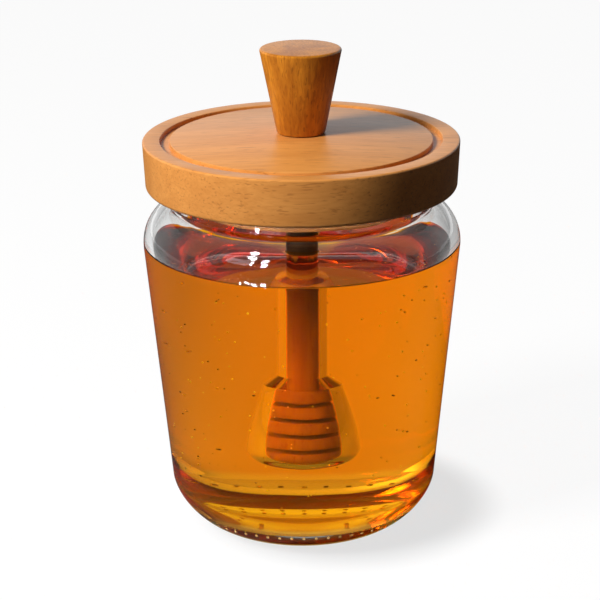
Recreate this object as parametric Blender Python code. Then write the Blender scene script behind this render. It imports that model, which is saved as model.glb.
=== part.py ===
"""Glass honey jar with a turned wooden lid and a honey dipper.

Everything is turned about the Z axis: a tapered glass jar with a round shoulder and a short
neck, the honey it holds, a wooden lid with a plug and a ring groove, a knob that widens
upwards, and the dipper that hangs from the lid into the honey. Metres, +Z up. The origin is
the middle of the jar's foot, on the surface that the jar stands on.
"""

import math

import bmesh
import bpy

# Driving sizes, in metres
CLEARANCE = 0.0003

FOOT_RADIUS = 0.0284
FOOT_RING = 0.0035
PUSH_UP_SLOPE = 0.0030
PUSH_UP = 0.0015
HEEL_RADIUS = 0.0415
HEEL_HEIGHT = 0.0140
HEEL_ROUNDNESS = 1.55
WALL_TOP_RADIUS = 0.0485
WALL_TOP_HEIGHT = 0.0888
SHOULDER_ROUND = 0.0129
NECK_RADIUS = 0.0397
RIM_HEIGHT = 0.1071
RIM_ROUND = 0.0010
NECK_FILLET = 0.0015
INNER_NECK_FILLET = 0.0020
WALL = 0.0030
NECK_WALL = 0.0027
BASE_TOP = 0.0075
INNER_HEEL_HEIGHT = 0.0070
INNER_FLOOR_RADIUS = 0.0345

HONEY_LEVEL = 0.0891
MENISCUS = 0.0007
MENISCUS_REACH = 0.0018
BORE_GAP = 0.00036
BORE_STEPS = 5

LID_RADIUS = 0.0480
LID_BOTTOM = RIM_HEIGHT + CLEARANCE
LID_TOP = 0.1219
LID_DRAFT = 0.0006
LID_TOP_ROUND = 0.0006
LID_BOTTOM_ROUND = 0.0012
GROOVE_OUTER = 0.0427
GROOVE_INNER = 0.0398
GROOVE_DEPTH = 0.0014
PANEL_CROWN = 0.0016
KNOB_SEAT_RADIUS = 0.0090
PLUG_RADIUS = 0.0362
PLUG_BOTTOM = 0.1030
PLUG_CHAMFER = 0.0008
SOCKET_DEPTH = 0.0080

KNOB_FOOT_RADIUS = 0.0074
KNOB_TOP_RADIUS = 0.0123
KNOB_TOP = 0.1494
KNOB_ROUND = 0.0007

STICK_RADIUS = 0.0048
HEAD_TOP = 0.0484
HEAD_BOTTOM = 0.0226
HEAD_TOP_RADIUS = 0.0078
HEAD_RADIUS = 0.0115
HEAD_WIDEST = 0.0272
HEAD_TIP_RADIUS = 0.0068
HEAD_CURVE = 0.62
HEAD_GROOVES = 4
HEAD_GROOVE_TOP = 0.0439
HEAD_GROOVE_PITCH = 0.0050
HEAD_GROOVE_WIDTH = 0.0012
HEAD_CORE_RADIUS = 0.0050
HEAD_TIP_STEPS = 5

JAR_SEGMENTS = 56
HONEY_SEGMENTS = 48
LID_SEGMENTS = 56
KNOB_SEGMENTS = 40
DIPPER_SEGMENTS = 28


def clear_scene():
    """Removes every object, so that the script can be run again."""
    for old in list(bpy.data.objects):
        bpy.data.objects.remove(old, do_unlink=True)


def material(name, colour, roughness, alpha=1.0):
    """A Principled BSDF material of one colour."""
    made = bpy.data.materials.new(name)
    made.use_nodes = True
    shader = made.node_tree.nodes["Principled BSDF"]
    shader.inputs["Base Color"].default_value = (*colour, 1.0)
    shader.inputs["Roughness"].default_value = roughness
    shader.inputs["Metallic"].default_value = 0.0
    shader.inputs["Alpha"].default_value = alpha
    return made


def arc(centre, radius, start, end, steps):
    """Points on a round stretch, as (radius, height), from one angle to another in degrees."""
    points = []
    for step in range(steps + 1):
        angle = math.radians(start + (end - start) * step / steps)
        points.append((centre[0] + radius * math.cos(angle), centre[1] + radius * math.sin(angle)))
    return points


def heel_curve(foot, side, roundness, steps):
    """A heel from the foot up to the side wall: a quarter of a superellipse."""
    points = []
    for step in range(steps + 1):
        angle = math.pi / 2 * step / steps
        across = math.sin(angle) ** (2 / roundness)
        up = 1 - math.cos(angle) ** (2 / roundness)
        points.append((foot[0] + (side[0] - foot[0]) * across, foot[1] + (side[1] - foot[1]) * up))
    return points


def turned(name, outline, segments, finish, sharp_degrees=40):
    """Turns an outline of (radius, height) points about Z into one closed, smooth-shaded object."""
    shape = bmesh.new()
    vertices = [shape.verts.new((radius, 0.0, height)) for radius, height in outline]
    for first, second in zip(vertices, vertices[1:]):
        shape.edges.new((first, second))
    if outline[0][0] > 0:
        shape.edges.new((vertices[-1], vertices[0]))
    bmesh.ops.spin(
        shape,
        geom=shape.verts[:] + shape.edges[:],
        cent=(0, 0, 0),
        axis=(0, 0, 1),
        angle=2 * math.pi,
        steps=segments,
        use_merge=True,
    )
    bmesh.ops.remove_doubles(shape, verts=shape.verts, dist=1e-6)
    bmesh.ops.recalc_face_normals(shape, faces=shape.faces)
    mesh = bpy.data.meshes.new(name)
    shape.to_mesh(mesh)
    shape.free()
    mesh.shade_smooth()
    mesh.set_sharp_from_angle(angle=math.radians(sharp_degrees))
    mesh.materials.append(finish)
    bpy.context.scene.collection.objects.link(bpy.data.objects.new(name, mesh))


def wall_slope():
    """The side wall's lean outwards, in degrees from the vertical."""
    return math.degrees(math.atan2(WALL_TOP_RADIUS - HEEL_RADIUS, WALL_TOP_HEIGHT - HEEL_HEIGHT))


def shoulder_centre():
    """The middle of the shoulder's round, which the side wall runs into without a corner."""
    lean = math.radians(wall_slope())
    return (
        WALL_TOP_RADIUS - SHOULDER_ROUND * math.cos(lean),
        WALL_TOP_HEIGHT + SHOULDER_ROUND * math.sin(lean),
    )


def neck_turn(neck, round_radius, fillet, steps):
    """The fillet between a shoulder round and a neck of the given radius, from the neck down."""
    centre = shoulder_centre()
    across = neck + fillet - centre[0]
    up = math.sqrt((round_radius + fillet) ** 2 - across**2)
    touch = 180 + math.degrees(math.atan2(up, across))
    return arc((neck + fillet, centre[1] + up), fillet, 180, touch, steps)


def shoulder_turn(neck, round_radius, fillet, steps):
    """A shoulder round from where its neck fillet ends down to the straight side wall."""
    centre = shoulder_centre()
    across = neck + fillet - centre[0]
    touch = math.degrees(math.acos(across / (round_radius + fillet)))
    return arc(centre, round_radius, touch, -wall_slope(), steps)[1:]


def inner_wall_radius(height):
    """The radius of the straight part of the jar's inner wall at a height."""
    share = (height - HEEL_HEIGHT) / (WALL_TOP_HEIGHT - HEEL_HEIGHT)
    outer = HEEL_RADIUS + (WALL_TOP_RADIUS - HEEL_RADIUS) * share
    return outer - WALL / math.cos(math.radians(wall_slope()))


def jar_outside():
    """The jar's outer outline, from the rim down to the middle of the base."""
    outline = arc((NECK_RADIUS - RIM_ROUND, RIM_HEIGHT - RIM_ROUND), RIM_ROUND, 90, 0, 2)
    outline += neck_turn(NECK_RADIUS, SHOULDER_ROUND, NECK_FILLET, 3)
    outline += shoulder_turn(NECK_RADIUS, SHOULDER_ROUND, NECK_FILLET, 8)
    heel = heel_curve((FOOT_RADIUS, 0.0), (HEEL_RADIUS, HEEL_HEIGHT), HEEL_ROUNDNESS, 7)
    outline += reversed(heel)
    ring = FOOT_RADIUS - FOOT_RING
    outline += [(ring, 0.0), (ring - PUSH_UP_SLOPE, PUSH_UP), (0.0, PUSH_UP)]
    return outline


def jar_inside(gap=0.0):
    """The jar's inner outline, from the neck down to the middle of the floor, inset by a gap."""
    inner_round = SHOULDER_ROUND - WALL
    neck = NECK_RADIUS - NECK_WALL
    side_height = BASE_TOP + INNER_HEEL_HEIGHT
    side = (inner_wall_radius(side_height) - gap, side_height)
    outline = neck_turn(neck - gap, inner_round - gap, INNER_NECK_FILLET + gap, 3)
    outline += shoulder_turn(neck - gap, inner_round - gap, INNER_NECK_FILLET + gap, 6)
    heel = heel_curve((INNER_FLOOR_RADIUS, BASE_TOP + gap), side, HEEL_ROUNDNESS, 6)
    outline += reversed(heel)
    outline.append((0.0, BASE_TOP + gap))
    return outline


def build_jar():
    """The glass: base, heel, tapered wall, shoulder, neck and rounded rim."""
    glass = material("clear_glass", (0.94, 0.96, 0.96), 0.04, 0.35)
    neck = NECK_RADIUS - NECK_WALL
    rim = arc((neck + RIM_ROUND, RIM_HEIGHT - RIM_ROUND), RIM_ROUND, 90, 180, 2)
    outline = list(reversed(jar_outside())) + rim + jar_inside()
    turned("jar", outline, JAR_SEGMENTS, glass)


def head_side(height, gap=0.0):
    """The dipper head's radius above its widest place: it swells downwards from the collar."""
    share = (HEAD_TOP - height) / (HEAD_TOP - HEAD_WIDEST)
    swell = HEAD_CURVE * math.sin(math.pi / 2 * share) + (1 - HEAD_CURVE) * share
    return HEAD_TOP_RADIUS + (HEAD_RADIUS - HEAD_TOP_RADIUS) * swell + gap


def head_tip(gap=0.0):
    """The rounded tip from the widest place down to its flat end: a quarter of an ellipse."""
    across = HEAD_RADIUS + gap - HEAD_TIP_RADIUS
    down = HEAD_WIDEST + gap - HEAD_BOTTOM
    points = []
    for step in range(HEAD_TIP_STEPS + 1):
        turn = math.pi / 2 * step / HEAD_TIP_STEPS
        points.append((HEAD_TIP_RADIUS + across * math.cos(turn), HEAD_WIDEST - down * math.sin(turn)))
    return points


def build_dipper():
    """The dipper: a plain stick whose top sits in the lid's socket, and a grooved head."""
    wood = material("dipper_wood", (0.52, 0.24, 0.07), 0.55)
    stick_top = PLUG_BOTTOM + SOCKET_DEPTH - CLEARANCE
    outline = [(0.0, stick_top), (STICK_RADIUS, stick_top), (STICK_RADIUS, HEAD_TOP)]
    outline.append((HEAD_TOP_RADIUS, HEAD_TOP))
    for groove in range(HEAD_GROOVES):
        top = HEAD_GROOVE_TOP - groove * HEAD_GROOVE_PITCH + HEAD_GROOVE_WIDTH / 2
        bottom = top - HEAD_GROOVE_WIDTH
        outline += [(head_side(top), top), (HEAD_CORE_RADIUS, top)]
        outline += [(HEAD_CORE_RADIUS, bottom), (head_side(bottom), bottom)]
    outline += head_tip()
    outline.append((0.0, HEAD_BOTTOM))
    turned("dipper", outline, DIPPER_SEGMENTS, wood)


def dipper_bore():
    """The honey's inner wall round the dipper, from the tip up to the honey's surface."""
    outline = [(0.0, HEAD_BOTTOM - BORE_GAP)] + list(reversed(head_tip(BORE_GAP)))
    for step in range(1, BORE_STEPS + 1):
        height = HEAD_WIDEST + (HEAD_TOP - HEAD_WIDEST) * step / BORE_STEPS
        outline.append((head_side(height, BORE_GAP), height))
    outline.append((HEAD_TOP_RADIUS + BORE_GAP, HEAD_TOP + BORE_GAP))
    outline.append((STICK_RADIUS + BORE_GAP, HEAD_TOP + BORE_GAP))
    outline.append((STICK_RADIUS + BORE_GAP, HONEY_LEVEL + MENISCUS))
    return outline


def build_honey():
    """The honey up to its level, cut round the dipper, with a small rise at the glass and stick."""
    honey = material("honey", (0.80, 0.36, 0.02), 0.08, 0.85)
    inside = jar_inside(CLEARANCE)
    below = [point for point in inside if point[1] < HONEY_LEVEL]
    centre = shoulder_centre()
    rim_round = SHOULDER_ROUND - WALL - CLEARANCE
    edge_height = HONEY_LEVEL + MENISCUS
    edge_radius = centre[0] + math.sqrt(rim_round**2 - (edge_height - centre[1]) ** 2)
    surface = [
        (STICK_RADIUS + MENISCUS_REACH, HONEY_LEVEL),
        (edge_radius - MENISCUS_REACH, HONEY_LEVEL),
        (edge_radius, edge_height),
    ]
    turned("honey", dipper_bore() + surface + below, HONEY_SEGMENTS, honey)


def build_lid():
    """The wooden lid: a disc with a ring groove on top and a plug with the dipper's socket below."""
    wood = material("lid_wood", (0.76, 0.43, 0.18), 0.5)
    socket = STICK_RADIUS + CLEARANCE
    crown = LID_TOP + PANEL_CROWN
    lower_edge = LID_RADIUS - LID_DRAFT - LID_BOTTOM_ROUND
    outline = [(0.0, crown), (KNOB_SEAT_RADIUS, crown)]
    outline += [(GROOVE_INNER, LID_TOP), (GROOVE_INNER, LID_TOP - GROOVE_DEPTH)]
    outline += [(GROOVE_OUTER, LID_TOP - GROOVE_DEPTH), (GROOVE_OUTER, LID_TOP)]
    outline += arc((LID_RADIUS - LID_TOP_ROUND, LID_TOP - LID_TOP_ROUND), LID_TOP_ROUND, 90, 0, 2)
    outline += arc((lower_edge, LID_BOTTOM + LID_BOTTOM_ROUND), LID_BOTTOM_ROUND, 0, -90, 3)
    outline += [(PLUG_RADIUS, LID_BOTTOM), (PLUG_RADIUS, PLUG_BOTTOM + PLUG_CHAMFER)]
    outline += [(PLUG_RADIUS - PLUG_CHAMFER, PLUG_BOTTOM), (socket, PLUG_BOTTOM)]
    outline += [(socket, PLUG_BOTTOM + SOCKET_DEPTH), (0.0, PLUG_BOTTOM + SOCKET_DEPTH)]
    turned("lid", outline, LID_SEGMENTS, wood, 30)


def build_knob():
    """The knob: a cone that widens upwards, with softened edges."""
    wood = material("knob_wood", (0.66, 0.33, 0.09), 0.5)
    foot = LID_TOP + PANEL_CROWN + CLEARANCE
    outline = [(0.0, foot), (KNOB_FOOT_RADIUS, foot)]
    outline += arc((KNOB_TOP_RADIUS - KNOB_ROUND, KNOB_TOP - KNOB_ROUND), KNOB_ROUND, -10, 90, 3)
    outline.append((0.0, KNOB_TOP))
    turned("knob", outline, KNOB_SEGMENTS, wood, 30)


clear_scene()
build_jar()
build_honey()
build_dipper()
build_lid()
build_knob()
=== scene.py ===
"""Looks of the glass honey jar: clear glass, amber honey, lacquered wood and a plain studio.

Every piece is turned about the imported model's own axis, takes its height and reach from the
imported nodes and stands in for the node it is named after. Lengths are metres, +Z is up.
"""

import logging
import math
import random
from dataclasses import dataclass
from enum import Enum

import bmesh
import bpy
from mathutils import Matrix, Vector, noise


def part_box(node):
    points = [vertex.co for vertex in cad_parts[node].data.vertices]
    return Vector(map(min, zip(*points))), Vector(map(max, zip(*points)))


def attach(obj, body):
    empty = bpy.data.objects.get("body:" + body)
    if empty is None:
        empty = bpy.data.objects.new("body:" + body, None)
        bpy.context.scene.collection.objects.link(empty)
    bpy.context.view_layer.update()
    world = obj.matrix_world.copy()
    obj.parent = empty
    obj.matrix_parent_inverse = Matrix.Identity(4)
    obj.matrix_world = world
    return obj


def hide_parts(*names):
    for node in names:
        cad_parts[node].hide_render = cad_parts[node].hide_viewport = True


Point = tuple[float, float]
Range = tuple[float, float]
Triple = tuple[float, float, float]
Colour = tuple[float, float, float]
Socket = bpy.types.NodeSocket

LOG = logging.getLogger("honey_jar")
BODY = "root"

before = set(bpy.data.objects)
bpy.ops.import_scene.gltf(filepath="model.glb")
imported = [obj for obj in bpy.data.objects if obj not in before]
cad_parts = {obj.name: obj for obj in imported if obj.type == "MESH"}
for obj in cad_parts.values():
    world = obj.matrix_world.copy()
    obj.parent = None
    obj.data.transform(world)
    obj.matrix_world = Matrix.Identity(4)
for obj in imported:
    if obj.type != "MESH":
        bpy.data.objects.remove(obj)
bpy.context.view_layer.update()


class Grain(Enum):
    """Which way the fibres of a wooden piece run."""

    LEVEL = "level"
    UPRIGHT = "upright"


class Outline:
    """Half of a turned piece's section, as (radius, height) points."""

    def __init__(self, *points: Point) -> None:
        """Starts the outline.

        Args:
            points: the first points, in order.
        """
        self.points: list[Point] = list(points)

    def to(self, *points: Point) -> "Outline":
        """Goes on in straight lines.

        Args:
            points: the next points, in order.

        Returns:
            The outline itself.
        """
        self.points += points
        return self

    def arc(self, centre: Point, radius: float, start: float, end: float, steps: int) -> "Outline":
        """Goes on along a round stretch.

        Args:
            centre: the middle of the round.
            radius: its radius.
            start: the first angle in degrees, with 0 pointing outwards and 90 up.
            end: the last angle in degrees.
            steps: how many chords stand for it.

        Returns:
            The outline itself.
        """
        for step in range(steps + 1):
            angle = math.radians(start + (end - start) * step / steps)
            radius_there = centre[0] + radius * math.cos(angle)
            self.points.append((radius_there, centre[1] + radius * math.sin(angle)))
        return self

    def heel(self, side: Point, foot: Point, roundness: float, steps: int) -> "Outline":
        """Goes on down a superellipse from a side wall to a foot.

        Args:
            side: where the wall ends.
            foot: where the foot starts.
            roundness: the superellipse's exponent, 2 for an ellipse.
            steps: how many chords stand for it.

        Returns:
            The outline itself.
        """
        for step in range(steps + 1):
            angle = math.pi / 2 * (1 - step / steps)
            across = math.sin(angle) ** (2 / roundness)
            up = 1 - math.cos(angle) ** (2 / roundness)
            radius = foot[0] + (side[0] - foot[0]) * across
            self.points.append((radius, foot[1] + (side[1] - foot[1]) * up))
        return self

    def join(self, other: "Outline") -> "Outline":
        """Goes on with another outline's points."""
        self.points += other.points
        return self

    def turned_back(self) -> "Outline":
        """The same outline walked the other way."""
        return Outline(*reversed(self.points))


def finished(name: str, shape: bmesh.types.BMesh, sharp_degrees: float) -> bpy.types.Object:
    """Makes a smooth-shaded object of a bmesh.

    Args:
        name: the piece's name.
        shape: the mesh, which is freed.
        sharp_degrees: the angle between faces past which an edge stays crisp.

    Returns:
        The new object, linked to the scene.
    """
    mesh = bpy.data.meshes.new(name)
    shape.to_mesh(mesh)
    shape.free()
    mesh.shade_smooth()
    mesh.set_sharp_from_angle(angle=math.radians(sharp_degrees))
    piece = bpy.data.objects.new(name, mesh)
    bpy.context.scene.collection.objects.link(piece)
    return piece


def turned(outline: Outline, segments: int) -> bmesh.types.BMesh:
    """Spins an outline about Z into a closed mesh.

    Args:
        outline: the section, from the axis or round a ring.
        segments: how many steps the turn has.

    Returns:
        The mesh, with its faces pointing out.
    """
    shape = bmesh.new()
    vertices = [shape.verts.new((radius, 0.0, height)) for radius, height in outline.points]
    for first, second in zip(vertices, vertices[1:]):
        shape.edges.new((first, second))
    bmesh.ops.spin(
        shape,
        geom=shape.verts[:] + shape.edges[:],
        cent=(0, 0, 0),
        axis=(0, 0, 1),
        angle=2 * math.pi,
        steps=segments,
        use_merge=True,
    )
    bmesh.ops.remove_doubles(shape, verts=shape.verts, dist=1e-6)
    bmesh.ops.recalc_face_normals(shape, faces=shape.faces)
    return shape


def around(radius: float, turn: float, height: float) -> Vector:
    """The point at a radius, an angle in radians and a height."""
    return Vector((radius * math.cos(turn), radius * math.sin(turn), height))


def scattered(places: list[tuple[Vector, float]]) -> bmesh.types.BMesh:
    """Small balls in one mesh.

    Args:
        places: each ball's middle and radius.

    Returns:
        The joined mesh.
    """
    shape = bmesh.new()
    for centre, radius in places:
        bmesh.ops.create_icosphere(
            shape, subdivisions=1, radius=radius, matrix=Matrix.Translation(centre)
        )
    return shape


def place(piece: bpy.types.Object, slot: str, finish: bpy.types.Material, *nodes: str) -> None:
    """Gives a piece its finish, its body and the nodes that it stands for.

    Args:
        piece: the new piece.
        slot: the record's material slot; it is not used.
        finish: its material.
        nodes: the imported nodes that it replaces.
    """
    piece.data.materials.append(finish)
    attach(piece, BODY)
    if nodes:
        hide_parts(*nodes)
    LOG.info("%s: %d faces, finish %s", piece.name, len(piece.data.polygons), finish.name)


class NodeSheet:
    """A node tree with short calls to add and join nodes."""

    def __init__(self, tree: bpy.types.NodeTree) -> None:
        """Takes the tree that it adds to."""
        self.tree = tree

    def add(self, kind: str, inputs: dict | None = None, **settings: object) -> bpy.types.Node:
        """Adds a node.

        Args:
            kind: the node's type name without its ShaderNode prefix.
            inputs: its inputs by name or number, each a plain value or an output to link.
            settings: its own properties.

        Returns:
            The node.
        """
        node = self.tree.nodes.new("ShaderNode" + kind)
        for key, value in settings.items():
            setattr(node, key, value)
        for key, value in (inputs or {}).items():
            if isinstance(value, Socket):
                self.tree.links.new(value, node.inputs[key])
            else:
                node.inputs[key].default_value = value
        return node

    def math(self, operation: str, *values: object) -> Socket:
        """A Math node's result."""
        return self.add("Math", dict(enumerate(values)), operation=operation).outputs[0]

    def times(self, first: object, second: object) -> Socket:
        """The product of two values."""
        return self.math("MULTIPLY", first, second)

    def line(self, value: Socket, slope: float, start: object) -> Socket:
        """A value times a slope, plus a start."""
        return self.math("MULTIPLY_ADD", value, slope, start)

    def switch(self, share: Socket, first: object, second: object) -> Socket:
        """The first value where the share is 0, the second where it is 1."""
        return self.add("Mix", {0: share, 2: first, 3: second}, data_type="FLOAT").outputs[0]

    def mix(self, share: object, first: object, second: object, blend: str = "MIX") -> Socket:
        """A colour Mix node's result.

        Args:
            share: how much of the second colour there is.
            first: the first colour.
            second: the second colour.
            blend: the blend mode.

        Returns:
            The mixed colour.
        """
        inputs = {0: share, 6: first, 7: second}
        return self.add("Mix", inputs, data_type="RGBA", blend_type=blend).outputs[2]

    def ramp(self, value: Socket, span: Range) -> Socket:
        """A value spread smoothly from 0 at the span's first end to 1 at its second.

        Args:
            value: the value.
            span: the two ends, in either order.

        Returns:
            The spread value.
        """
        rising = span[0] < span[1]
        low, high = sorted(span)
        inputs = {"Value": value, "From Min": low, "From Max": high}
        inputs |= {"To Min": 0.0 if rising else 1.0, "To Max": 1.0 if rising else 0.0}
        return self.add("MapRange", inputs, interpolation_type="SMOOTHSTEP").outputs[0]


def rgba(colour: Colour) -> tuple[float, float, float, float]:
    """A colour with full alpha."""
    return (*colour, 1.0)


@dataclass(frozen=True)
class GrainLayer:
    """One layer of noise, drawn out along the fibres."""

    along: float
    across: float
    octaves: float
    small_octaves: float
    warp: float = 0.4

    def drawn(self, sheet: NodeSheet, vector: Socket) -> Socket:
        """Adds the layer.

        Args:
            sheet: the group's sheet.
            vector: the coordinate, with the fibres along X.

        Returns:
            The noise value.
        """
        scale = (self.along, self.across, self.across)
        mapped = sheet.add("Mapping", {"Vector": vector, "Scale": scale}).outputs[0]
        inputs = {"Vector": mapped, "Scale": 1.0, "Detail": self.octaves}
        inputs |= {"Roughness": self.small_octaves, "Distortion": self.warp}
        return sheet.add("TexNoise", inputs).outputs["Fac"]


class WoodGrainGroup:
    """The shader group that draws fibres, broad bands and pores, shared by all wooden pieces."""

    NAME = "wood_grain"
    INPUTS = (
        ("Vector", "NodeSocketVector"),
        ("Light", "NodeSocketColor"),
        ("Dark", "NodeSocketColor"),
        ("Pore", "NodeSocketColor"),
        ("Band", "NodeSocketFloat"),
        ("Fibre", "NodeSocketFloat"),
        ("Pores", "NodeSocketFloat"),
        ("Sheen", "NodeSocketFloat"),
    )
    OUTPUTS = (
        ("Color", "NodeSocketColor"),
        ("Roughness", "NodeSocketFloat"),
        ("Height", "NodeSocketFloat"),
    )
    BROAD = GrainLayer(along=9.0, across=150.0, octaves=3.0, small_octaves=0.6)
    FINE = GrainLayer(along=60.0, across=1300.0, octaves=2.0, small_octaves=0.55)
    FLECKS = GrainLayer(along=150.0, across=1700.0, octaves=1.0, small_octaves=0.5)
    BAND_SPAN = (0.36, 0.64)
    FIBRE_SPAN = (0.35, 0.75)
    PORE_SPAN = (0.60, 0.70)
    FIBRE_DULLING = 0.16
    FIBRE_HEIGHT = 0.5

    def __init__(self) -> None:
        """Builds the group once."""
        tree = bpy.data.node_groups.new(self.NAME, "ShaderNodeTree")
        self.tree = tree
        for name, kind in self.INPUTS:
            tree.interface.new_socket(name, in_out="INPUT", socket_type=kind)
        for name, kind in self.OUTPUTS:
            tree.interface.new_socket(name, in_out="OUTPUT", socket_type=kind)
        sheet = NodeSheet(tree)
        given = tree.nodes.new("NodeGroupInput").outputs
        broad, fine, flecks = (
            layer.drawn(sheet, given["Vector"]) for layer in (self.BROAD, self.FINE, self.FLECKS)
        )
        bands = sheet.times(sheet.ramp(broad, self.BAND_SPAN), given["Band"])
        colour = sheet.mix(bands, given["Light"], given["Dark"])
        fibres = sheet.times(sheet.ramp(fine, self.FIBRE_SPAN), given["Fibre"])
        colour = sheet.mix(fibres, colour, given["Dark"])
        pores = sheet.times(sheet.ramp(flecks, self.PORE_SPAN), given["Pores"])
        colour = sheet.mix(pores, colour, given["Pore"])
        rough = sheet.line(fine, self.FIBRE_DULLING, given["Sheen"])
        height = sheet.math("SUBTRACT", sheet.times(fine, self.FIBRE_HEIGHT), pores)
        out = tree.nodes.new("NodeGroupOutput")
        for name, value in (("Color", colour), ("Roughness", rough), ("Height", height)):
            tree.links.new(value, out.inputs[name])


@dataclass(frozen=True)
class WoodFinish:
    """Satin lacquered wood."""

    name: str
    light: Colour
    dark: Colour
    pore: Colour
    grain: Grain
    band: float
    fibre: float
    pores: float
    sheen: float = 0.32
    coat: float = 0.35
    coat_roughness: float = 0.3
    shine: float = 0.3
    relief: float = 0.25
    relief_depth: float = 0.0001

    def with_painted_shade(self, sheet: NodeSheet, place: Socket, colour: Socket) -> Socket:
        """Adds painted shade to the wood, which plain wood leaves out.

        Args:
            sheet: the material's sheet.
            place: the object coordinate.
            colour: the colour of the bare wood.

        Returns:
            The colour with its painted shade.
        """
        return colour

    def material(self, group: WoodGrainGroup) -> bpy.types.Material:
        """Builds the material.

        Args:
            group: the shared grain group.

        Returns:
            The material.
        """
        made = bpy.data.materials.new(self.name)
        made.use_nodes = True
        shader = made.node_tree.nodes["Principled BSDF"]
        sheet = NodeSheet(made.node_tree)
        turn = (0.0, math.pi / 2, 0.0) if self.grain is Grain.UPRIGHT else (0.0, 0.0, 0.0)
        coordinate = sheet.add("TexCoord").outputs["Object"]
        mapped = sheet.add("Mapping", {"Vector": coordinate, "Rotation": turn})
        grain = sheet.add("Group", node_tree=group.tree)
        made.node_tree.links.new(mapped.outputs[0], grain.inputs["Vector"])
        for socket, value in (
            ("Light", rgba(self.light)),
            ("Dark", rgba(self.dark)),
            ("Pore", rgba(self.pore)),
            ("Band", self.band),
            ("Fibre", self.fibre),
            ("Pores", self.pores),
            ("Sheen", self.sheen),
        ):
            grain.inputs[socket].default_value = value
        inputs = {"Height": grain.outputs["Height"], "Strength": self.relief}
        bump = sheet.add("Bump", inputs | {"Distance": self.relief_depth})
        colour = self.with_painted_shade(sheet, coordinate, grain.outputs["Color"])
        made.node_tree.links.new(colour, shader.inputs["Base Color"])
        made.node_tree.links.new(grain.outputs["Roughness"], shader.inputs["Roughness"])
        made.node_tree.links.new(bump.outputs[0], shader.inputs["Normal"])
        shader.inputs["Specular IOR Level"].default_value = self.shine
        shader.inputs["Coat Weight"].default_value = self.coat
        shader.inputs["Coat Roughness"].default_value = self.coat_roughness
        return made


@dataclass(frozen=True)
class TopShadedWoodFinish(WoodFinish):
    """Wood with painted shade, darker the higher up the stick, where the lid shades it."""

    painted_shade: Colour = (0.06, 0.02, 0.02)
    painted_shade_span: Range = (0.045, 0.095)

    def with_painted_shade(self, sheet: NodeSheet, place: Socket, colour: Socket) -> Socket:
        """Paints shade on the wood, the more the higher up.

        Args:
            sheet: the material's sheet.
            place: the object coordinate.
            colour: the colour of the bare wood.

        Returns:
            The colour with its painted shade.
        """
        height = sheet.add("SeparateXYZ", {0: place}).outputs["Z"]
        # Painted shade: the stick is darkened towards the top, standing in for the shade under the lid.
        dark = sheet.mix(1.0, colour, rgba(self.painted_shade), "MULTIPLY")
        return sheet.mix(sheet.ramp(height, self.painted_shade_span), colour, dark)


@dataclass(frozen=True)
class GlassFinish:
    """Clear polished glass."""

    name: str = "clear_glass"
    tint: Colour = (0.95, 0.955, 0.95)
    sheen: Colour = (0.3, 0.3, 0.3)
    ior: float = 1.5
    roughness: float = 0.0

    def material(self) -> bpy.types.Material:
        """Builds the material."""
        made = bpy.data.materials.new(self.name)
        made.use_nodes = True
        shader = made.node_tree.nodes["Principled BSDF"]
        shader.inputs["Base Color"].default_value = rgba(self.tint)
        shader.inputs["Roughness"].default_value = self.roughness
        shader.inputs["IOR"].default_value = self.ior
        shader.inputs["Specular Tint"].default_value = rgba(self.sheen)
        shader.inputs["Transmission Weight"].default_value = 1.0
        return made


@dataclass(frozen=True)
class HoneyFinish:
    """Clear amber honey, painted paler at its floor: a painted reflection, where the base mirrors what
    is behind the jar.
    """

    name: str = "amber_honey"
    tint: Colour = (0.97, 0.49, 0.003)
    painted_mirror_tint: Colour = (1.0, 0.88, 0.2)
    painted_mirror_span: Range = (0.0078, 0.0100)
    sheen: Colour = (0.08, 0.08, 0.08)
    ior: float = 1.45
    depth_colour: Colour = (0.95, 0.50, 0.10)
    density: float = 20.0

    def material(self) -> bpy.types.Material:
        """Builds the material."""
        made = bpy.data.materials.new(self.name)
        made.use_nodes = True
        shader = made.node_tree.nodes["Principled BSDF"]
        sheet = NodeSheet(made.node_tree)
        place = sheet.add("TexCoord").outputs["Object"]
        height = sheet.add("SeparateXYZ", {0: place}).outputs["Z"]
        # Painted reflection: the lowest layer of honey is tinted paler so that the base's mirror of
        # what is behind the jar looks bright.
        above = sheet.ramp(height, self.painted_mirror_span)
        tint = sheet.mix(above, rgba(self.painted_mirror_tint), rgba(self.tint))
        made.node_tree.links.new(tint, shader.inputs["Base Color"])
        shader.inputs["Roughness"].default_value = 0.0
        shader.inputs["IOR"].default_value = self.ior
        shader.inputs["Specular Tint"].default_value = rgba(self.sheen)
        shader.inputs["Transmission Weight"].default_value = 1.0
        inputs = {"Color": rgba(self.depth_colour), "Density": self.density}
        absorption = sheet.add("VolumeAbsorption", inputs)
        output = made.node_tree.nodes["Material Output"]
        made.node_tree.links.new(absorption.outputs[0], output.inputs["Volume"])
        return made


@dataclass(frozen=True)
class PlainFinish:
    """One plain colour, for specks and bubbles too small to show any grain."""

    name: str
    colour: Colour
    roughness: float

    def material(self) -> bpy.types.Material:
        """Builds the material."""
        made = bpy.data.materials.new(self.name)
        made.use_nodes = True
        shader = made.node_tree.nodes["Principled BSDF"]
        shader.inputs["Base Color"].default_value = rgba(self.colour)
        shader.inputs["Roughness"].default_value = self.roughness
        return made


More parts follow.
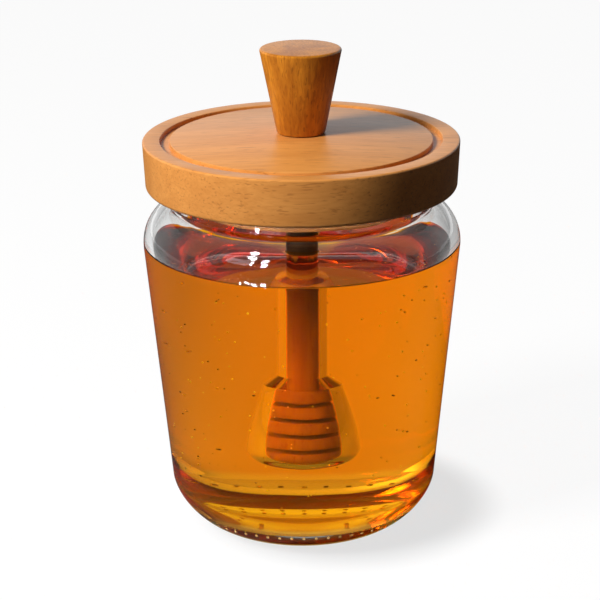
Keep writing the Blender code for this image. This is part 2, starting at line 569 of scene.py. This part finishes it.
@dataclass
class GlassJar:
    """The jar: outside from rim to base, inside from neck to floor."""

    rim_height: float
    foot_radius: float = 0.0284
    foot_ring: float = 0.0035
    push_up: tuple[Point, ...] = ((0.001, 0.0003), (0.002, 0.0009), (0.003, 0.0013), (0.004, 0.0015))
    heel_radius: float = 0.0415
    heel_height: float = 0.0140
    roundness: float = 1.55
    wall_top_radius: float = 0.0485
    wall_top_height: float = 0.0888
    shoulder_round: float = 0.0129
    neck_radius: float = 0.0397
    rim_round: float = 0.0010
    neck_fillet: float = 0.0015
    inner_fillet: float = 0.0020
    wall: float = 0.0030
    neck_wall: float = 0.0027
    floor_height: float = 0.0075
    inner_heel: float = 0.0070
    floor_radius: float = 0.0345
    ripple: float = 0.00010
    ripple_length: float = 0.009
    dots: int = 52
    dot_ring: float = 0.0280
    dot_height: float = 0.0066
    dot_radius: float = 0.00050
    rim_steps: int = 6
    fillet_steps: int = 8
    shoulder_steps: int = 24
    heel_steps: int = 30
    inner_heel_steps: int = 20
    segments: int = 520
    sharp: float = 60.0

    def lean(self) -> float:
        """The side wall's lean outwards, in degrees from the vertical."""
        rise = self.wall_top_height - self.heel_height
        return math.degrees(math.atan2(self.wall_top_radius - self.heel_radius, rise))

    def shoulder_centre(self) -> Point:
        """The middle of the shoulder's round."""
        lean = math.radians(self.lean())
        radius = self.wall_top_radius - self.shoulder_round * math.cos(lean)
        return radius, self.wall_top_height + self.shoulder_round * math.sin(lean)

    def neck_and_shoulder(self, neck: float, round_radius: float, fillet: float) -> Outline:
        """The neck's fillet and the shoulder's round, from the neck down to the side wall.

        Args:
            neck: the neck's radius on this side of the glass.
            round_radius: the shoulder's radius on this side.
            fillet: the radius of the turn between them.

        Returns:
            That stretch of the outline.
        """
        centre = self.shoulder_centre()
        across = neck + fillet - centre[0]
        up = math.sqrt((round_radius + fillet) ** 2 - across**2)
        touch = math.degrees(math.atan2(up, across))
        turn = (neck + fillet, centre[1] + up)
        stretch = Outline().arc(turn, fillet, 180, 180 + touch, self.fillet_steps)
        return stretch.arc(centre, round_radius, touch, -self.lean(), self.shoulder_steps)

    def inner_radius(self, height: float) -> float:
        """The inner wall's radius at a height on its straight part."""
        share = (height - self.heel_height) / (self.wall_top_height - self.heel_height)
        outer = self.heel_radius + (self.wall_top_radius - self.heel_radius) * share
        return outer - self.wall / math.cos(math.radians(self.lean()))

    def inside(self, reach: float = 0.0) -> Outline:
        """The inner outline, from the neck down to the middle of the floor.

        Args:
            reach: how far it lies inside the glass.

        Returns:
            The outline.
        """
        neck = self.neck_radius - self.neck_wall + reach
        inner_round = self.shoulder_round - self.wall + reach
        outline = self.neck_and_shoulder(neck, inner_round, self.inner_fillet - reach)
        side_height = self.floor_height + self.inner_heel
        side = (self.inner_radius(side_height) + reach, side_height)
        floor = (self.floor_radius, self.floor_height - reach)
        outline.heel(side, floor, self.roundness, self.inner_heel_steps)
        return outline.to((0.0, self.floor_height - reach))

    def outside(self) -> Outline:
        """The outer outline, from the rim down to the middle of the base."""
        centre = (self.neck_radius - self.rim_round, self.rim_height - self.rim_round)
        outline = Outline().arc(centre, self.rim_round, 90, 0, self.rim_steps)
        outline.join(self.neck_and_shoulder(self.neck_radius, self.shoulder_round, self.neck_fillet))
        side = (self.heel_radius, self.heel_height)
        outline.heel(side, (self.foot_radius, 0.0), self.roundness, self.heel_steps)
        ring = self.foot_radius - self.foot_ring
        outline.to((ring, 0.0))
        for inwards, height in self.push_up:
            outline.to((ring - inwards, height))
        return outline.to((0.0, self.push_up[-1][1]))

    def build(self) -> bpy.types.Object:
        """Turns the glass and gives its shoulder the slight waves of blown glass."""
        neck = self.neck_radius - self.neck_wall
        centre = (neck + self.rim_round, self.rim_height - self.rim_round)
        rim = Outline().arc(centre, self.rim_round, 90, 180, self.rim_steps)
        shape = turned(self.outside().turned_back().join(rim).join(self.inside()), self.segments)
        for vertex in shape.verts:
            across = Vector((vertex.co.x, vertex.co.y, 0.0))
            if across.length > self.neck_radius and vertex.co.z > self.wall_top_height:
                wave = self.ripple * noise.noise(vertex.co / self.ripple_length)
                vertex.co += across.normalized() * wave
        return finished("glass_jar", shape, self.sharp)

    def build_dots(self) -> bpy.types.Object:
        """Sets the ring of small dots in the foot, by which the jar grips when it is rolled."""
        places = []
        for dot in range(self.dots):
            centre = around(self.dot_ring, 2 * math.pi * dot / self.dots, self.dot_height)
            places.append((centre, self.dot_radius))
        return finished("foot_dots", scattered(places), self.sharp)


@dataclass
class HoneyFill:
    """The honey: it wets the glass and the dipper and rises a little at both."""

    jar: GlassJar
    dipper: "HoneyDipper"
    level: float
    rise: float = 0.0007
    rise_reach: float = 0.0020
    rise_steps: int = 8
    reach: float = 0.00015
    bore_gap: float = 0.0003
    wetted: float = 0.0050
    segments: int = 240
    sharp: float = 25.0
    bubbles: int = 170
    bubble_size: Range = (0.00016, 0.00036)
    specks: int = 120
    speck_size: Range = (0.00014, 0.00030)
    spot_margin: float = 0.001
    innermost: float = 0.15
    crowding: float = 0.35
    spot_sharp: float = 60.0
    seed: int = 7

    def surface(self, stick_radius: float, wall_radius: float) -> Outline:
        """The top, from the dipper's stick out to the glass.

        Args:
            stick_radius: where the honey meets the stick.
            wall_radius: where it meets the glass.

        Returns:
            That stretch of the outline.
        """
        outline = Outline()
        shares = [step / self.rise_steps for step in range(self.rise_steps + 1)]
        for share in reversed(shares):
            height = self.level + self.rise * share**3
            outline.to((stick_radius + self.rise_reach * (1 - share), height))
        for share in shares:
            height = self.level + self.rise * share**3
            outline.to((wall_radius - self.rise_reach * (1 - share), height))
        return outline

    def build(self) -> bpy.types.Object:
        """Turns the honey as a body cut round the dipper, which shows it at its true width."""
        inside = self.jar.inside(self.reach)
        below = [point for point in inside.points if point[1] < self.level]
        centre = self.jar.shoulder_centre()
        round_radius = self.jar.shoulder_round - self.jar.wall + self.reach
        rise = self.level + self.rise - centre[1]
        wall_radius = centre[0] + math.sqrt(round_radius**2 - rise**2)
        stick, wet = self.dipper.stick_radius, self.level - self.wetted
        outline = self.dipper.hull(self.bore_gap)
        outline.to((stick + self.bore_gap, wet - self.bore_gap), (stick - self.reach, wet))
        outline.join(self.surface(stick - self.reach, wall_radius)).to(*below)
        return finished("honey_fill", turned(outline, self.segments), self.sharp)

    def spots(self, count: int, size: Range, salt: int) -> bmesh.types.BMesh:
        """Small balls at random places in the honey, more of them near the glass.

        Args:
            count: how many.
            size: the least and the greatest radius.
            salt: sets this lot apart from the other.

        Returns:
            The joined mesh.
        """
        draw = random.Random(self.seed + salt)
        low = self.jar.floor_height + self.jar.inner_heel
        places = []
        for _ in range(count):
            height = draw.uniform(low, self.level - self.spot_margin)
            reach = self.jar.inner_radius(height) - self.spot_margin
            radius = reach * draw.uniform(self.innermost, 1.0) ** self.crowding
            centre = around(radius, draw.uniform(0, 2 * math.pi), height)
            places.append((centre, draw.uniform(*size)))
        return scattered(places)

    def build_bubbles(self) -> bpy.types.Object:
        """Scatters the air bubbles."""
        return finished("bubbles", self.spots(self.bubbles, self.bubble_size, 1), self.spot_sharp)

    def build_specks(self) -> bpy.types.Object:
        """Scatters the dark specks of wax."""
        return finished("specks", self.spots(self.specks, self.speck_size, 2), self.spot_sharp)


@dataclass
class WoodenLid:
    """The lid: a disc with a ring groove on top and a plug below."""

    bottom: float
    top: float
    radius: float
    plug_bottom: float
    crown: float = 0.0016
    draft: float = 0.0006
    top_round: float = 0.0006
    bottom_round: float = 0.0012
    groove_outer: float = 0.0427
    groove_inner: float = 0.0398
    groove_depth: float = 0.0014
    groove_edge: float = 0.00025
    seat: float = 0.0090
    plug_radius: float = 0.0362
    plug_chamfer: float = 0.0008
    segments: int = 256
    sharp: float = 35.0

    def build(self) -> bpy.types.Object:
        """Turns the lid."""
        edge = self.groove_edge
        deep = self.top - self.groove_depth
        outline = Outline((0.0, self.top + self.crown), (self.seat, self.top + self.crown))
        outline.arc((self.groove_inner - edge, self.top - edge), edge, 85, 0, 3)
        outline.to((self.groove_inner, deep), (self.groove_outer, deep))
        outline.arc((self.groove_outer + edge, self.top - edge), edge, 180, 90, 3)
        upper = (self.radius - self.top_round, self.top - self.top_round)
        outline.arc(upper, self.top_round, 90, 0, 5)
        lower = (self.radius - self.draft - self.bottom_round, self.bottom + self.bottom_round)
        outline.arc(lower, self.bottom_round, 0, -90, 8)
        outline.to((self.plug_radius, self.bottom))
        outline.to((self.plug_radius, self.plug_bottom + self.plug_chamfer))
        outline.to((self.plug_radius - self.plug_chamfer, self.plug_bottom), (0.0, self.plug_bottom))
        return finished("wooden_lid", turned(outline, self.segments), self.sharp)


@dataclass
class WoodenKnob:
    """The knob: a cone that widens upwards."""

    foot: float
    top: float
    top_radius: float
    foot_radius: float = 0.0074
    foot_edge: float = 0.0002
    round_radius: float = 0.0007
    segments: int = 128
    sharp: float = 35.0

    def build(self) -> bpy.types.Object:
        """Turns the knob."""
        outline = Outline((0.0, self.foot), (self.foot_radius - self.foot_edge, self.foot))
        outline.to((self.foot_radius, self.foot + self.foot_edge))
        centre = (self.top_radius - self.round_radius, self.top - self.round_radius)
        outline.arc(centre, self.round_radius, -10, 90, 6).to((0.0, self.top))
        return finished("wooden_knob", turned(outline, self.segments), self.sharp)


@dataclass
class HoneyDipper:
    """The dipper: a stick and a head with ring grooves."""

    top: float
    bottom: float
    stick_radius: float = 0.0048
    head_top: float = 0.0484
    collar_radius: float = 0.0078
    head_radius: float = 0.0115
    widest: float = 0.0272
    tip_radius: float = 0.0068
    curve: float = 0.62
    grooves: int = 4
    groove_top: float = 0.0439
    groove_pitch: float = 0.0050
    groove_width: float = 0.0012
    core_radius: float = 0.0050
    edge: float = 0.00035
    roof: float = 0.0003
    roof_slope: float = 0.0030
    tip_steps: int = 16
    side_steps: int = 12
    segments: int = 96
    sharp: float = 40.0

    def side(self, height: float) -> float:
        """The head's radius above its widest place."""
        share = (self.head_top - height) / (self.head_top - self.widest)
        swell = self.curve * math.sin(math.pi / 2 * share) + (1 - self.curve) * share
        return self.collar_radius + (self.head_radius - self.collar_radius) * swell

    def tip(self, gap: float) -> Outline:
        """The rounded tip from the widest place down, grown by a gap."""
        outline = Outline()
        for step in range(self.tip_steps + 1):
            angle = math.pi / 2 * step / self.tip_steps
            across = self.tip_radius + (self.head_radius + gap - self.tip_radius) * math.cos(angle)
            outline.to((across, self.widest - (self.widest + gap - self.bottom) * math.sin(angle)))
        return outline

    def hull(self, gap: float) -> Outline:
        """The outline without its grooves, grown by a gap, from the tip up to the stick."""
        outline = Outline((0.0, self.bottom - gap)).join(self.tip(gap).turned_back())
        for step in range(1, self.side_steps + 1):
            height = self.widest + (self.head_top - self.widest) * step / self.side_steps
            outline.to((self.side(height) + gap, height))
        roof = self.head_top + self.roof
        outline.to((self.collar_radius + gap, roof))
        return outline.to((self.stick_radius + gap, roof + self.roof_slope))

    def build(self) -> bpy.types.Object:
        """Turns the dipper."""
        outline = Outline((0.0, self.top), (self.stick_radius, self.top))
        collar = self.collar_radius - self.edge
        outline.to((self.stick_radius, self.head_top), (collar, self.head_top))
        outline.arc((collar, self.head_top - self.edge), self.edge, 60, 0, 2)
        for groove in range(self.grooves):
            upper = self.groove_top - groove * self.groove_pitch + self.groove_width / 2
            lower = upper - self.groove_width
            outline.arc((self.side(upper) - self.edge, upper + self.edge), self.edge, 0, -90, 3)
            outline.to((self.core_radius, upper), (self.core_radius, lower))
            outline.arc((self.side(lower) - self.edge, lower - self.edge), self.edge, 90, 0, 3)
        outline.join(self.tip(0.0)).to((0.0, self.bottom))
        return finished("honey_dipper", turned(outline, self.segments), self.sharp)


@dataclass(frozen=True)
class PaleWorld:
    """The surroundings: white to look at, bright through glass and dim as a light.

    Every span is one of the direction's X, Y or Z, or of the light path's depth.
    """

    fill: Colour = (1.0, 0.6, 0.35)
    fill_strength: float = 0.03
    high_span: Range = (0.25, 0.55)
    high_dimming: float = 0.76
    side_level: float = 0.92
    side_slope: float = -0.35
    patch_inner_span: Range = (-0.15, -0.40)
    patch_outer_span: Range = (-0.75, -0.6)
    patch_height_span: Range = (0.16, 0.06)
    patch_gain: float = 1.0
    deep_span: Range = (5.0, 7.0)
    deep_gain: float = 0.7
    veil_dimming: float = 0.75
    inner_level: float = 0.6
    inner_slope: float = -0.5
    mirror_level: float = 0.85
    mirror_high_span: Range = (0.35, 0.75)
    mirror_high_dimming: float = 0.75
    front_span: Range = (-0.95, -0.3)
    front_level: float = 0.15

    def through_glass(self, sheet: NodeSheet, way: object, path: object) -> Socket:
        """How bright the surroundings are through the jar.

        Args:
            sheet: the world's sheet.
            way: the direction's X, Y and Z.
            path: the light path's outputs.

        Returns:
            The strength.
        """
        level = sheet.line(sheet.ramp(way["Z"], self.high_span), -self.high_dimming, 1.0)
        level = sheet.times(level, sheet.line(way["X"], self.side_slope, self.side_level))
        inner = sheet.ramp(way["X"], self.patch_inner_span)
        patch = sheet.times(inner, sheet.ramp(way["Z"], self.patch_height_span))
        patch = sheet.times(patch, sheet.ramp(way["X"], self.patch_outer_span))
        level = sheet.times(level, sheet.line(patch, self.patch_gain, 1.0))
        deep = sheet.ramp(path["Transmission Depth"], self.deep_span)
        mirrored_once = sheet.math("MINIMUM", path["Glossy Depth"], 1.0)
        veil = sheet.times(mirrored_once, sheet.math("SUBTRACT", 1.0, deep))
        level = sheet.times(level, sheet.line(veil, -self.veil_dimming, 1.0))
        level = sheet.times(level, sheet.line(deep, self.deep_gain, 1.0))
        scattered_once = sheet.math("MINIMUM", path["Diffuse Depth"], 1.0)
        aside = sheet.line(way["X"], self.inner_slope, self.inner_level)
        return sheet.switch(scattered_once, level, aside)

    def mirrored(self, sheet: NodeSheet, way: object) -> Socket:
        """How bright the surroundings are in a reflection.

        Args:
            sheet: the world's sheet.
            way: the direction's X, Y and Z.

        Returns:
            The strength.
        """
        high = sheet.ramp(way["Z"], self.mirror_high_span)
        level = sheet.line(high, -self.mirror_high_dimming, self.mirror_level)
        behind = sheet.ramp(way["Y"], self.front_span)
        return sheet.times(level, sheet.line(behind, 1.0 - self.front_level, self.front_level))

    def build(self) -> None:
        """Makes the world."""
        world = bpy.data.worlds.new("studio_world")
        bpy.context.scene.world = world
        world.use_nodes = True
        sheet = NodeSheet(world.node_tree)
        way = sheet.add("SeparateXYZ", {0: sheet.add("TexCoord").outputs["Generated"]}).outputs
        path = sheet.add("LightPath").outputs
        strength = sheet.times(path["Is Glossy Ray"], self.mirrored(sheet, way))
        strength = sheet.line(path["Is Diffuse Ray"], self.fill_strength, strength)
        through = self.through_glass(sheet, way, path)
        strength = sheet.switch(path["Is Transmission Ray"], strength, through)
        strength = sheet.switch(path["Is Camera Ray"], strength, 1.0)
        tone = sheet.mix(path["Is Diffuse Ray"], rgba((1.0, 1.0, 1.0)), rgba(self.fill))
        background = world.node_tree.nodes["Background"]
        world.node_tree.links.new(tone, background.inputs["Color"])
        world.node_tree.links.new(strength, background.inputs["Strength"])


@dataclass(frozen=True)
class PaleFloor:
    """The pale floor, lit from within so that only a soft painted shadow beside the jar shows."""

    size: float = 6.0
    height: float = -0.0002
    roughness: float = 0.9
    under_jar: Range = (0.040, 0.080)
    under_level: float = 0.42
    under_rise: float = 0.46
    slant: float = -0.25
    slant_span: Range = (-0.10, 0.10)
    slant_dimming: float = 0.38
    painted_shadow_centre: Triple = (0.014, 0.004, 0.0)
    painted_shadow_span: Range = (0.036, 0.054)
    painted_shadow_level: float = 0.72
    painted_shadow_rise: float = 0.22
    bare: Colour = (0.07, 0.07, 0.07)
    through_glass: Colour = (0.15, 0.15, 0.15)

    def seen_through(self, sheet: NodeSheet, spot: Socket) -> Socket:
        """How bright the floor is through the jar, with painted shadow below it and to its right.

        Args:
            sheet: the material's sheet.
            spot: the object coordinate.

        Returns:
            The strength.
        """
        out = sheet.add("VectorMath", {0: spot}, operation="LENGTH").outputs["Value"]
        # Painted shadow: the glow dims towards the middle, below the jar.
        level = sheet.line(sheet.ramp(out, self.under_jar), self.under_rise, self.under_level)
        part = sheet.add("SeparateXYZ", {0: spot}).outputs
        # Painted shadow: the glow dims towards the right, where the jar's shadow falls.
        across = sheet.ramp(sheet.line(part["Y"], self.slant, part["X"]), self.slant_span)
        return sheet.times(level, sheet.line(across, -self.slant_dimming, 1.0))

    def build(self) -> None:
        """Lays the floor."""
        shape = bmesh.new()
        bmesh.ops.create_grid(shape, x_segments=1, y_segments=1, size=self.size)
        bmesh.ops.translate(shape, verts=shape.verts, vec=(0, 0, self.height))
        floor = finished("floor", shape, 30)
        made = bpy.data.materials.new("pale_floor")
        made.use_nodes = True
        shader = made.node_tree.nodes["Principled BSDF"]
        shader.inputs["Roughness"].default_value = self.roughness
        shader.inputs["Specular IOR Level"].default_value = 0.0
        shader.inputs["Emission Color"].default_value = rgba((1.0, 1.0, 1.0))
        sheet = NodeSheet(made.node_tree)
        path = sheet.add("LightPath").outputs
        spot = sheet.add("TexCoord").outputs["Object"]
        # Painted shadow: the glow is dimmed round a spot just right of the jar's middle, a soft contact
        # shadow.
        inputs = {0: spot, 1: self.painted_shadow_centre}
        beside = sheet.add("VectorMath", inputs, operation="DISTANCE").outputs["Value"]
        shade = sheet.line(sheet.ramp(beside, self.painted_shadow_span), self.painted_shadow_rise, self.painted_shadow_level)
        seen = sheet.times(path["Is Camera Ray"], shade)
        through = sheet.times(path["Is Transmission Ray"], self.seen_through(sheet, spot))
        glow = sheet.math("MAXIMUM", seen, through)
        made.node_tree.links.new(glow, shader.inputs["Emission Strength"])
        pale = sheet.mix(path["Is Transmission Ray"], rgba(self.bare), rgba(self.through_glass))
        made.node_tree.links.new(pale, shader.inputs["Base Color"])
        floor.data.materials.append(made)


@dataclass(frozen=True)
class Pane:
    """One pane of the window, placed as it looks from the jar."""

    turn: float
    height: float
    distance: float
    width: float


@dataclass(frozen=True)
class Studio:
    """The camera, the soft lights and the window, with the world and the floor."""

    camera_place: Triple = (0.0, -0.6, 0.27789)
    pitch: float = 19.12
    yaw: float = 0.07
    roll: float = -0.45
    lens: float = 122.714
    sensor: float = 36.0
    near: float = 0.01
    key_turn: float = -56.0
    key_height: float = 40.0
    key_distance: float = 0.9
    key_size: float = 0.24
    key_power: float = 11.8
    pane_power: float = 500.0
    pane_tallness: float = 2.5
    panes: tuple[Pane, ...] = (
        Pane(-60.0, 63.0, 0.9, 0.045),
        Pane(-53.0, 60.0, 0.9, 0.055),
        Pane(-50.0, 51.0, 0.9, 0.055),
        Pane(-43.0, 47.0, 0.9, 0.055),
        Pane(-40.0, 36.0, 0.9, 0.050),
        Pane(-30.0, 45.0, 0.9, 0.055),
        Pane(-28.0, 35.0, 0.9, 0.060),
        Pane(-41.0, -12.0, 0.3, 0.012),
        Pane(-36.0, -9.0, 0.3, 0.016),
        Pane(-31.0, -12.0, 0.3, 0.016),
        Pane(-24.0, -11.0, 0.3, 0.018),
    )
    target: Triple = (0.0, 0.0, 0.09)
    bounces: int = 24

    def build_camera(self) -> None:
        """Sets the camera at the photograph's angle."""
        made = bpy.data.cameras.new("camera")
        made.lens = self.lens
        made.sensor_width = self.sensor
        made.clip_start = self.near
        camera = bpy.data.objects.new("camera", made)
        turn = Matrix.Rotation(math.radians(self.yaw), 4, "Z")
        tilt = Matrix.Rotation(math.radians(90 - self.pitch), 4, "X")
        roll = Matrix.Rotation(math.radians(self.roll), 4, "Z")
        camera.matrix_world = Matrix.Translation(self.camera_place) @ turn @ tilt @ roll
        bpy.context.scene.collection.objects.link(camera)
        bpy.context.scene.camera = camera

    def build_light(
        self, name: str, turn: float, height: float, distance: float, size: Point, power: float
    ) -> bpy.types.Object:
        """Hangs a soft light aimed at the jar.

        Args:
            name: the light's name.
            turn: degrees from the camera's side, positive to its right.
            height: degrees above the level.
            distance: metres from the jar.
            size: its width and height.
            power: its power in watts.

        Returns:
            The light.
        """
        made = bpy.data.lights.new(name, "AREA")
        made.shape = "RECTANGLE"
        made.size, made.size_y = size
        made.energy = power
        light = bpy.data.objects.new(name, made)
        across, up = math.radians(turn), math.radians(height)
        level = math.cos(up)
        way = Vector((math.sin(across) * level, -math.cos(across) * level, math.sin(up)))
        spot = Matrix.Translation(Vector(self.target) + way * distance)
        light.matrix_world = spot @ way.to_track_quat("Z", "Y").to_matrix().to_4x4()
        bpy.context.scene.collection.objects.link(light)
        return light

    def build_key(self) -> None:
        """Hangs the large light, which only shades and never mirrors."""
        size = (self.key_size, self.key_size)
        key = self.build_light(
            "key", self.key_turn, self.key_height, self.key_distance, size, self.key_power
        )
        key.visible_glossy = False

    def build_window(self, glass: bpy.types.Object) -> None:
        """Hangs the small panes, which only sparkle on the glass.

        Args:
            glass: the piece that they sparkle on.
        """
        mirrors = bpy.data.collections.new("mirrors")
        mirrors.objects.link(glass)
        for pane in self.panes:
            size = (pane.width, pane.width * self.pane_tallness)
            power = self.pane_power * size[0] * size[1]
            light = self.build_light("pane", pane.turn, pane.height, pane.distance, size, power)
            light.visible_diffuse = False
            light.visible_transmission = False
            light.light_linking.receiver_collection = mirrors

    def build(self, glass: bpy.types.Object) -> None:
        """Builds the whole studio.

        Args:
            glass: the piece that the window panes sparkle on.
        """
        self.build_camera()
        self.build_key()
        self.build_window(glass)
        PaleWorld().build()
        PaleFloor().build()
        scene = bpy.context.scene
        scene.view_settings.view_transform = "Standard"
        scene.cycles.max_bounces = self.bounces
        scene.cycles.glossy_bounces = self.bounces
        scene.cycles.transmission_bounces = self.bounces


LID_WOOD = WoodFinish(
    name="lid_wood",
    light=(0.75, 0.315, 0.075),
    dark=(0.57, 0.21, 0.043),
    pore=(0.30, 0.09, 0.02),
    grain=Grain.LEVEL,
    band=0.42,
    fibre=0.5,
    pores=0.42,
)
KNOB_WOOD = WoodFinish(
    name="knob_wood",
    light=(0.68, 0.255, 0.02),
    dark=(0.30, 0.08, 0.006),
    pore=(0.12, 0.03, 0.005),
    grain=Grain.UPRIGHT,
    band=0.55,
    fibre=0.55,
    pores=0.4,
)
DIPPER_WOOD = TopShadedWoodFinish(
    name="dipper_wood",
    light=(0.46, 0.50, 0.21),
    dark=(0.33, 0.30, 0.11),
    pore=(0.25, 0.12, 0.04),
    grain=Grain.UPRIGHT,
    band=0.5,
    fibre=0.3,
    pores=0.3,
    coat=0.0,
    shine=0.1,
)
# The foot's dots are real glass; their opaque warm pale colour is a painted glint of light through the
# honey.
DOT_GLINT = PlainFinish("dot", (1.0, 0.72, 0.30), 0.2)
# The air bubbles are real; their opaque pale colour is a painted glint.
BUBBLE_GLINT = PlainFinish("bubble", (1.0, 0.85, 0.6), 0.15)
WAX_SPECK = PlainFinish("wax_speck", (0.12, 0.04, 0.01), 0.6)
LID_PLAY = 0.0003


def main() -> None:
    """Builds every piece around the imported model, then the studio."""
    logging.basicConfig(level=logging.INFO, format="%(name)s: %(message)s")
    grain = WoodGrainGroup()
    jar_box, honey_box, lid_box, knob_box, dipper_box = (
        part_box(node) for node in ("jar", "honey", "lid", "knob", "dipper")
    )
    jar = GlassJar(rim_height=jar_box[1].z)
    glass = jar.build()
    place(glass, "glass", GlassFinish().material(), "jar")
    place(jar.build_dots(), "glass", DOT_GLINT.material())
    dipper = HoneyDipper(top=dipper_box[1].z, bottom=dipper_box[0].z)
    honey = HoneyFill(jar=jar, dipper=dipper, level=honey_box[1].z - HoneyFill.rise)
    place(honey.build(), "honey", HoneyFinish().material(), "honey")
    lid = WoodenLid(
        bottom=jar_box[1].z + LID_PLAY,
        top=lid_box[1].z - WoodenLid.crown,
        radius=lid_box[1].x,
        plug_bottom=lid_box[0].z,
    )
    place(lid.build(), "lid_wood", LID_WOOD.material(grain), "lid")
    knob = WoodenKnob(foot=knob_box[0].z, top=knob_box[1].z, top_radius=knob_box[1].x)
    place(knob.build(), "knob_wood", KNOB_WOOD.material(grain), "knob")
    place(dipper.build(), "dipper_wood", DIPPER_WOOD.material(grain), "dipper")
    place(honey.build_bubbles(), "honey", BUBBLE_GLINT.material())
    place(honey.build_specks(), "honey", WAX_SPECK.material())
    Studio().build(glass)


if __name__ == "__main__":
    main()
